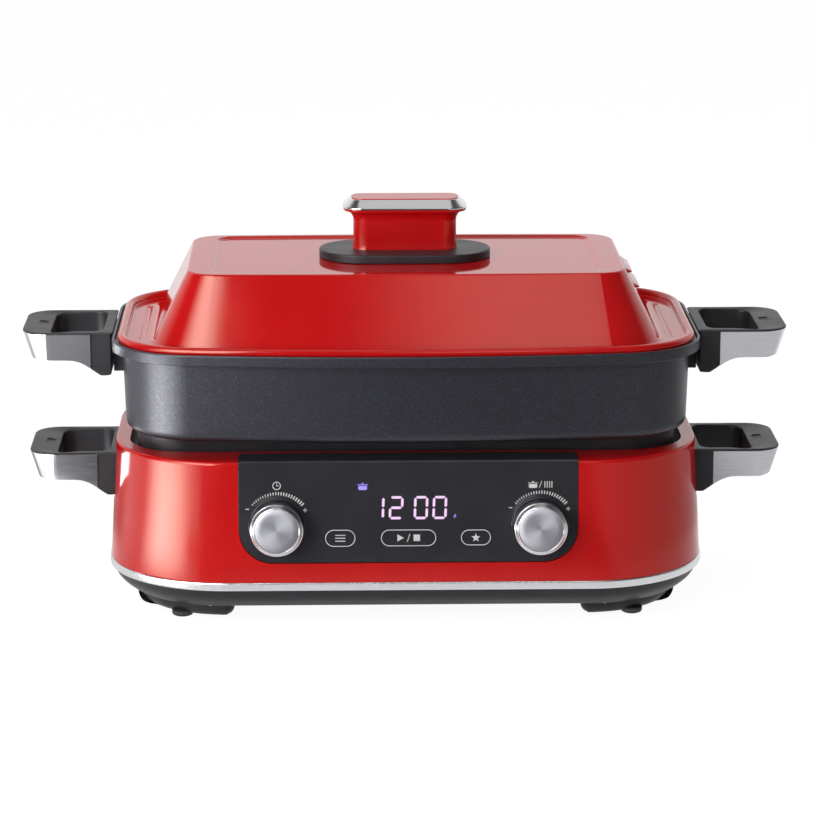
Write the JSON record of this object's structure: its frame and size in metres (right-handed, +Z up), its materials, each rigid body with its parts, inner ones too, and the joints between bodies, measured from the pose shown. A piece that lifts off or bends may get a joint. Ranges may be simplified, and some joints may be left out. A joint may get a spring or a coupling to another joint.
{
  "type": "multicooker",
  "caption": "Countertop multicooker: a heated base with a panel and dials, a two-handled rectangular pan that stands on it, and a lift-off domed lid with a central knob.",
  "frame": {"origin": "on the table, under the middle of the bounding box", "axes": "+Z up, +X to the right seen from the front, along the handles, -Y towards the front with the control panel"},
  "size_m": [0.5038, 0.235, 0.2638],
  "materials": {
    "red_plastic": "bright red, high gloss, moulded",
    "red_enamel": "bright red baked enamel, high gloss",
    "black_plastic": "black, satin, finely grained",
    "panel_plastic": "black, high gloss, printed from behind",
    "dark_plastic": "dark grey, plain",
    "pan_coating": "cast aluminium with a speckled charcoal non-stick coating",
    "bright_trim": "satin to bright plated metal",
    "dial_metal": "turned and brushed aluminium with a bright bevel",
    "sheet_steel": "plain rolled steel",
    "element_steel": "heat-darkened steel tube",
    "fastener_steel": "zinc-plated",
    "brass": "plain brass",
    "rubber": "dark grey moulded rubber",
    "ceramic": "unglazed white insulator",
    "board": "green circuit board",
    "display_glass": "dark window over a lit digit module",
    "component_blue": "blue moulded case",
    "component_green": "green moulded terminal block",
    "lead_sleeve": "silicone sleeve"
  },
  "bodies": {
    "base": {"base_shell": "red_plastic", "trim_band": "bright_trim", "base_tray": "black_plastic", "foot_pads": "rubber", "tray_screws": "fastener_steel", "collar": "black_plastic", "collar_screws": "fastener_steel", "reflector": "sheet_steel", "heating_element": "element_steel", "element_clips": "sheet_steel", "element_bushes": "ceramic", "element_terminals": "brass", "probe_holder": "sheet_steel", "probe_spring": "sheet_steel", "heat_shield": "sheet_steel", "shield_screws": "fastener_steel", "control_panel": "panel_plastic", "display": "display_glass", "control_board": "board", "board_clips": "dark_plastic", "left_encoder": "sheet_steel", "right_encoder": "sheet_steel", "left_dial_ring": "black_plastic", "right_dial_ring": "black_plastic", "power_board": "board", "board_screws": "fastener_steel", "relay": "component_blue", "transformer": "dark_plastic", "capacitors": "component_blue", "terminal_block": "component_green", "buzzer": "dark_plastic", "inner_leads": "lead_sleeve", "inlet_housing": "black_plastic", "inlet_pins": "brass", "left_base_grip": "black_plastic", "right_base_grip": "black_plastic", "left_base_strip": "bright_trim", "right_base_strip": "bright_trim", "base_handle_screws": "fastener_steel"},
    "pan": {"pan_body": "pan_coating", "pan_brackets": "sheet_steel", "left_pan_grip": "black_plastic", "right_pan_grip": "black_plastic", "left_pan_strip": "bright_trim", "right_pan_strip": "bright_trim", "pan_handle_screws": "fastener_steel"},
    "lid": {"lid_shell": "red_enamel", "knob_plate": "black_plastic", "knob_body": "red_plastic", "knob_ring": "bright_trim", "knob_cap": "red_plastic", "knob_washers": "fastener_steel", "knob_screws": "fastener_steel"},
    "left_dial": {"left_dial": "dial_metal", "left_dial_face": "dial_metal", "left_shaft": "dial_metal"},
    "right_dial": {"right_dial": "dial_metal", "right_dial_face": "dial_metal", "right_shaft": "dial_metal"},
    "probe": {"probe_cap": "sheet_steel"}
  },
  "joints": [
    {"name": "pan_lift", "type": "slide", "parent": "base", "child": "pan", "axis": [0, 0, 1], "range_m": [0, 0.06]},
    {"name": "lid_lift", "type": "slide", "parent": "pan", "child": "lid", "axis": [0, 0, 1], "range_m": [0, 0.1]},
    {"name": "left_dial_turn", "type": "hinge", "parent": "base", "child": "left_dial", "pos_m": [-0.0845, -0.10108, 0.0676], "axis": [0, -0.9984, 0.0569], "continuous": true},
    {"name": "right_dial_turn", "type": "hinge", "parent": "base", "child": "right_dial", "pos_m": [0.0845, -0.10108, 0.0676], "axis": [0, -0.9984, 0.0569], "continuous": true},
    {"name": "probe_press", "type": "slide", "parent": "base", "child": "probe", "axis": [0, 0, 1], "range_m": [-0.003, 0], "stiffness_N_per_m": 300, "springref_m": 0.002, "deforming": ["probe_spring"]}
  ]
}
